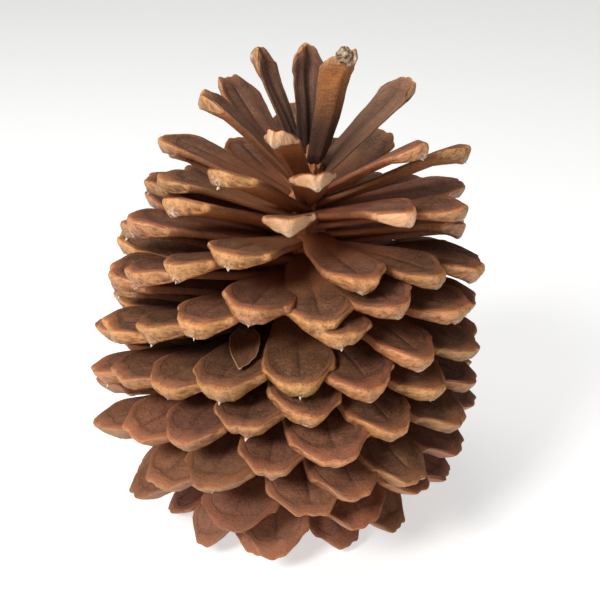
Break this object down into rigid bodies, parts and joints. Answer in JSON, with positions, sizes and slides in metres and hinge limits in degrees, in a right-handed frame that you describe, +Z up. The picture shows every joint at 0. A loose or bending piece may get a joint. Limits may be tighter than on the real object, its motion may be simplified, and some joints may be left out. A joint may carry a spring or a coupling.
{
  "type": "pine cone",
  "caption": "Open woody pine cone with flared scales in spirals, standing on its lowest scales, with a loose winged seed.",
  "frame": {"origin": "on the ground below the middle of the cone", "axes": "+Z up through the crown, -Y towards the side where the winged seed lies"},
  "size_m": [0.0945, 0.0936, 0.118],
  "materials": {
    "cone_wood": "matte",
    "seed_wing": "matte"
  },
  "bodies": {
    "root": {"pine_cone": "cone_wood", "winged_seed": "seed_wing"}
  },
  "joints": []
}
